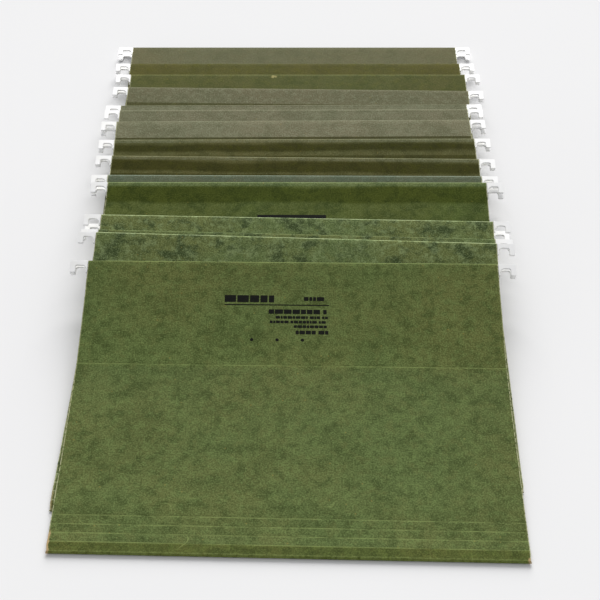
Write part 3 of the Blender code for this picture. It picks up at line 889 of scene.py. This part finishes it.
class Card(Graph):
    """Marbled green card, whose colour is laid on in layers."""

    def __init__(self, name, tone):
        super().__init__(name)
        self.tone = tone
        self.place = self.attribute("card", "Vector")
        self.x, self.s, _ = self.parts(self.place)
        rim = self.attribute("rim", "Vector")
        self.from_side, self.from_top, self.from_fold = self.parts(rim)
        self.grain = self.noise(self.place, *GRAIN)
        self.specks = self.layer(self.place, SPECKS)
        runs = [self.stretched(self.place, FIBRE_STRETCH, turn) for turn in FIBRE_TURNS]
        self.fibres = self.plus(*(self.layer(run, FIBRES) for run in runs))
        self.chips = self.layer(self.place, CHIPS)
        self.colour = linear(*tone.base)

    def lay(self, where, share, colour):
        """Lays a colour over the card, as much as both shares say."""
        self.colour = self.mix(self.times(where, share), self.colour, colour)

    def tint(self, where, factor):
        """Multiplies the card's colour there."""
        self.colour = self.mix(where, self.colour, (*factor, 1.0), "MULTIPLY")

    def squares(self, a, b):
        """The sum of two values' squares."""
        return self.plus(self.times(a, a), self.times(b, b))

    def marble(self):
        """The card as it was made: blotches, grain, fibres and flecks."""
        tone = self.tone
        warm, patch, speck = (linear(*rgb) for rgb in (tone.warm, tone.patch, tone.speck))
        self.colour = self.mix(self.layer(self.place, DRIFT), self.colour, warm)
        self.lay(self.layer(self.warped(self.place, *CLOUD_WARP), CLOUDS), CLOUD_SHARE, patch)
        self.lay(self.layer(self.place, STAINS), STAIN_SHARE, warm)
        blotches = self.layer(self.warped(self.place, *BLOTCH_WARP), BLOTCHES, tone.patch_scale)
        self.lay(blotches, tone.patch_share, patch)
        spots = self.layer(self.warped(self.place, *SPOT_WARP), SPOTS, tone.patch_scale)
        self.lay(spots, tone.patch_share * SPOT_SHARE, patch)
        self.lay(self.specks, tone.speck_share, speck)
        self.lay(self.share(self.grain, *DARK_GRAIN), tone.grain_share, patch)
        self.lay(self.share(self.grain, *PALE_GRAIN), tone.grain_share, speck)
        self.lay(self.fibres, FIBRE_SHARE, speck)
        cells = self.add("TexVoronoi", {"Vector": self.place, "Scale": FLECK_SCALE}).node.outputs
        chosen = self.maths("GREATER_THAN", self.parts(cells["Color"])[0], FLECKLESS)
        flecks = self.times(chosen, self.share(cells["Distance"], *FLECK_SIZE))
        self.lay(flecks, FLECK_SHARE, FLECK_COLOUR)

    def shade_bands(self):
        """Bands of painted highlight, sheen and shade along the top edge; painted shade and light
        by the fold.
        """
        stray = self.noise(self.stretched(self.place, WANDER_STRETCH), *WANDER_NOISE)
        stray = self.minus(stray, NOISE_MIDDLE)
        stray = self.times(stray, self.share(self.from_top, *WANDER_START))
        uneven = self.plus(self.from_top, self.times(stray, BAND_WANDER))
        for band in self.tone.bands:
            distance = self.from_top if band.blur < SOFT_EDGE else uneven
            past_start = self.share(distance, band.start - band.blur, band.start + band.blur)
            before_end = self.share(distance, band.end + band.blur, band.end - band.blur)
            self.tint(self.times(past_start, before_end), band.factor)
        # painted shade on the strip between the fold and the first score
        self.tint(self.share(self.s, FIRST_SCORE + SHARP, FIRST_SCORE - SHARP), LAST_STRIP_PAINTED_SHADE)
        # painted light on the round fold
        self.tint(self.share(self.s, SHARP, -SHARP), ROUND_FOLD_PAINTED_LIGHT)

    def grooves(self):
        """1 on the middle of each score and of the crease, falling to 0 beside it."""
        to_score = self.maths("PINGPONG", self.minus(self.s, FIRST_SCORE), SCORE_PITCH / 2)
        past_scores = self.maths("GREATER_THAN", self.s, FIRST_SCORE + SCORE_PITCH * (SCORES - 0.5))
        before_scores = self.maths("LESS_THAN", self.s, FIRST_SCORE - SCORE_PITCH / 2)
        away = self.plus(self.plus(to_score, past_scores), before_scores)
        to_crease = self.maths("ABSOLUTE", self.minus(self.s, CREASE))
        return self.share(self.maths("MINIMUM", away, to_crease), *WORN_GROOVE)

    def hairs(self):
        """A few thin curved scratches near the fold."""
        to_line = self.minus(self.noise(self.place, *HAIR_NOISE), NOISE_MIDDLE)
        to_line = self.maths("ABSOLUTE", to_line)
        near_fold = self.share(self.from_fold, *HAIR_REACH)
        here = self.times(self.layer(self.place, HAIR_PLACES), near_fold)
        return self.times(self.share(to_line, *HAIR_WIDTH), here)

    def wear(self):
        """Pale lines at the card's edges, its grooves and its scratches."""
        breaks = self.layer(self.stretched(self.place, BREAK_STRETCH), BREAKS)
        top = self.times(self.share(self.from_top, *WORN_TOP), breaks)
        fold = self.times(self.share(self.from_fold, *WORN_FOLD), self.chips)
        fold = self.times(fold, WORN_FOLD_SHARE)
        grooves = self.times(self.times(self.grooves(), breaks), WORN_GROOVE_SHARE)
        worn = self.greater(self.greater(top, fold), grooves)
        worn = self.greater(worn, self.times(self.hairs(), HAIR_SHARE))
        self.lay(worn, WORN_SHARE, linear(*self.tone.worn))
        side = self.times(self.share(self.from_side, *WORN_SIDE), self.chips)
        self.lay(side, CUT_SHARE, CUT_COLOUR)

    def scuff(self):
        """A short scrape by the top edge, where the card's core shows."""
        across, down, half_width, half_height = SCUFF
        aside = self.maths("DIVIDE", self.minus(self.x, across), half_width)
        below = self.maths("DIVIDE", self.minus(self.from_top, down), half_height)
        inside = self.share(self.squares(aside, below), *SCUFF_RIM)
        self.lay(self.times(inside, self.chips), SCUFF_SHARE, SCUFF_COLOUR)

    def fray(self, share):
        """Bare brown card at the corners by the fold, and up the left edge beside it."""
        from_corner = self.maths("SQRT", self.squares(self.from_side, self.from_fold))
        corner = self.plus(from_corner, self.times(self.grain, FRAYED_RIM))
        edge = self.plus(self.from_side, self.times(self.chips, SPLIT_RIM))
        split = self.times(self.share(edge, *SPLIT_WIDTH), self.maths("LESS_THAN", self.x, 0.0))
        split = self.times(split, self.share(self.from_fold, *SPLIT_LENGTH))
        self.lay(self.greater(self.share(corner, *FRAYED_CORNER), split), share, KRAFT_COLOUR)

    def surface(self):
        """The finished material, with its roughness and its fine relief."""
        height = self.times(self.grain, GRAIN_HEIGHT)
        height = self.plus(height, self.times(self.specks, SPECK_HEIGHT))
        height = self.plus(height, self.times(self.fibres, FIBRE_HEIGHT))
        return self.finished({
            "Base Color": self.colour,
            "Roughness": self.roughness(self.specks, *CARD_ROUGHNESS),
            "Specular IOR Level": CARD_SPECULAR,
            "Normal": self.bump(height, *CARD_BUMP),
        })


def pressboard(name, tone, fraying, scuffed):
    """A folder's card: marbled, with painted sheen and shade along its top and by its fold, and
    pale where it is worn or cut.
    """
    card = Card(name, tone)
    card.marble()
    card.shade_bands()
    card.wear()
    if scuffed:
        card.scuff()
    card.fray(fraying)
    card.lay(card.attribute("cut", "Fac"), CUT_SHARE, CUT_COLOUR)
    return card.surface()


def coating():
    """White satin coating: a faint orange-peel surface, slightly yellowed, scuffed in places."""
    g = Graph("white_coating")
    place = g.own_place()
    clouds = g.noise(place, COATING_CLOUDS.scale, COATING_CLOUDS.detail)
    yellowed = g.share(clouds, COATING_CLOUDS.start, COATING_CLOUDS.full)
    colour = g.mix(yellowed, COATING_COLOUR, COATING_YELLOWED)
    scuffs = g.layer(g.stretched(place, COATING_SCUFF_STRETCH, COATING_SCUFF_TURN), COATING_SCUFFS)
    glaze, glaze_roughness = COATING_GLAZE
    return g.finished({
        "Base Color": g.mix(g.times(scuffs, COATING_SCUFF_SHARE), colour, COATING_SCUFFED),
        "Roughness": g.roughness(clouds, *COATING_ROUGHNESS),
        "Specular IOR Level": COATING_SPECULAR,
        "Coat Weight": glaze,
        "Coat Roughness": glaze_roughness,
        "Normal": g.bump(g.noise(place, *PEEL), *COATING_BUMP),
    })


def steel():
    """The rod's bare galvanised strip, with lengthwise rolling marks."""
    g = Graph("galvanised_steel")
    place = g.own_place()
    marks = g.noise(g.stretched(place, ROLLING_STRETCH), *ROLLING_MARKS)
    return g.finished({
        "Base Color": g.mix(g.noise(place, *SPANGLE), STEEL_DULL, STEEL_BRIGHT),
        "Metallic": 1.0,
        "Roughness": g.roughness(marks, *STEEL_ROUGHNESS),
        "Normal": g.bump(marks, *STEEL_BUMP),
    })


def black_ink():
    """Black ink that has sunk unevenly into the card."""
    g = Graph("black_ink")
    thin = g.layer(g.own_place(), INK_WEAR)
    return g.finished({
        "Base Color": g.mix(thin, linear(*INK_COLOUR), linear(*INK_THIN)),
        "Roughness": g.roughness(thin, *INK_ROUGHNESS),
        "Specular IOR Level": INK_SPECULAR,
        "Normal": g.bump(thin, *INK_BUMP),
    })


def table_top():
    """A pale matt table, very slightly clouded."""
    g = Graph("pale_table")
    return g.finished({
        "Base Color": g.mix(g.noise(g.own_place(), *TABLE_CLOUDS), TABLE_COLOUR, TABLE_PALE),
        "Roughness": TABLE_ROUGHNESS,
        "Specular IOR Level": TABLE_SPECULAR,
    })


# ---------------------------------------------------------------- stage, light and camera
def add_floor():
    """A large flat table under the pile."""
    mesh = bpy.data.meshes.new("floor")
    h = FLOOR_HALF
    mesh.from_pydata([(-h, -h, 0), (h, -h, 0), (h, h, 0), (-h, h, 0)], [], [(0, 1, 2, 3)])
    floor = add_piece("floor", mesh, table_top())
    floor.location.z = -FLOOR_GAP


def add_light():
    """Even light from all round, and a large soft one behind the pile."""
    world = bpy.data.worlds.new("studio")
    bpy.context.scene.world = world
    world.use_nodes = True
    background = world.node_tree.nodes["Background"]
    background.inputs["Color"].default_value = WORLD_COLOUR
    background.inputs["Strength"].default_value = WORLD_STRENGTH
    towards, size, strength = BACK_LIGHT
    light = bpy.data.lights.new("back_light", "SUN")
    light.angle = math.radians(size)
    light.energy = strength
    light.color = BACK_LIGHT_COLOUR
    lamp = bpy.data.objects.new("back_light", light)
    bpy.context.scene.collection.objects.link(lamp)
    lamp.rotation_euler = Vector(towards).to_track_quat("Z", "Y").to_euler()


def add_camera():
    """The camera in front of the pile and above it, looking down at the front folders."""
    pitch, yaw, roll = (math.radians(a) for a in (CAMERA_PITCH, CAMERA_YAW, CAMERA_ROLL))
    level_share = math.cos(pitch)
    ahead = Vector((math.sin(yaw) * level_share, math.cos(yaw) * level_share, -math.sin(pitch)))
    level = ahead.cross(Vector((0, 0, 1))).normalized()
    upright = level.cross(ahead)
    right = math.cos(roll) * level + math.sin(roll) * upright
    up = math.cos(roll) * upright - math.sin(roll) * level
    data = bpy.data.cameras.new("camera")
    data.lens = CAMERA_LENS
    camera = bpy.data.objects.new("camera", data)
    bpy.context.scene.collection.objects.link(camera)
    turned = Matrix((right, up, -ahead)).transposed().to_4x4()
    camera.matrix_world = Matrix.Translation(CAMERA_PLACE) @ turned
    bpy.context.scene.camera = camera


# ---------------------------------------------------------------- the pile
BACK_SEED = 50  # added to a folder's number for its back cover's own waves and marbling


def add_folder(number, tone, rod, rod_materials, ink):
    """A folder's two covers with their rods, the fold between them, and its print."""
    fraying = FRAYED_SHARE if number == FRAYED_FOLDER else LESS_FRAYED_SHARE
    card = pressboard(f"pressboard_{number:02d}", tone, fraying, number == SCUFFED_FOLDER)
    covers = {half: read_cover(number, half) for half in ("back", "front")}
    for half, cover in covers.items():
        body = f"folder_{number:02d}_{half}"
        sheet = Sheet(cover, cover.line, CARD_BLUR)
        seed = number if half == "front" else number + BACK_SEED
        mesh = strip_mesh(f"{half}_card_{number:02d}", sheet, rows_up(sheet), seed)
        piece = add_piece(mesh.name, mesh, card)
        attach(piece, body)
        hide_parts(f"{half}_cover_{number:02d}")
        add_rod(f"{half}_rod_{number:02d}", cover, body, rod, rod_materials)
        if half == "front":
            add_print(number, sheet, ink)
    add_fold(number, covers["front"], covers["back"], card)


bpy.context.scene.view_settings.view_transform = "Standard"
add_floor()
add_light()
add_camera()
rod = rod_mesh(read_cover(1, "front").width)
rod_materials = (coating(), steel())
ink = black_ink()
for number, tone in enumerate(TONES, start=1):
    add_folder(number, tone, rod, rod_materials, ink)
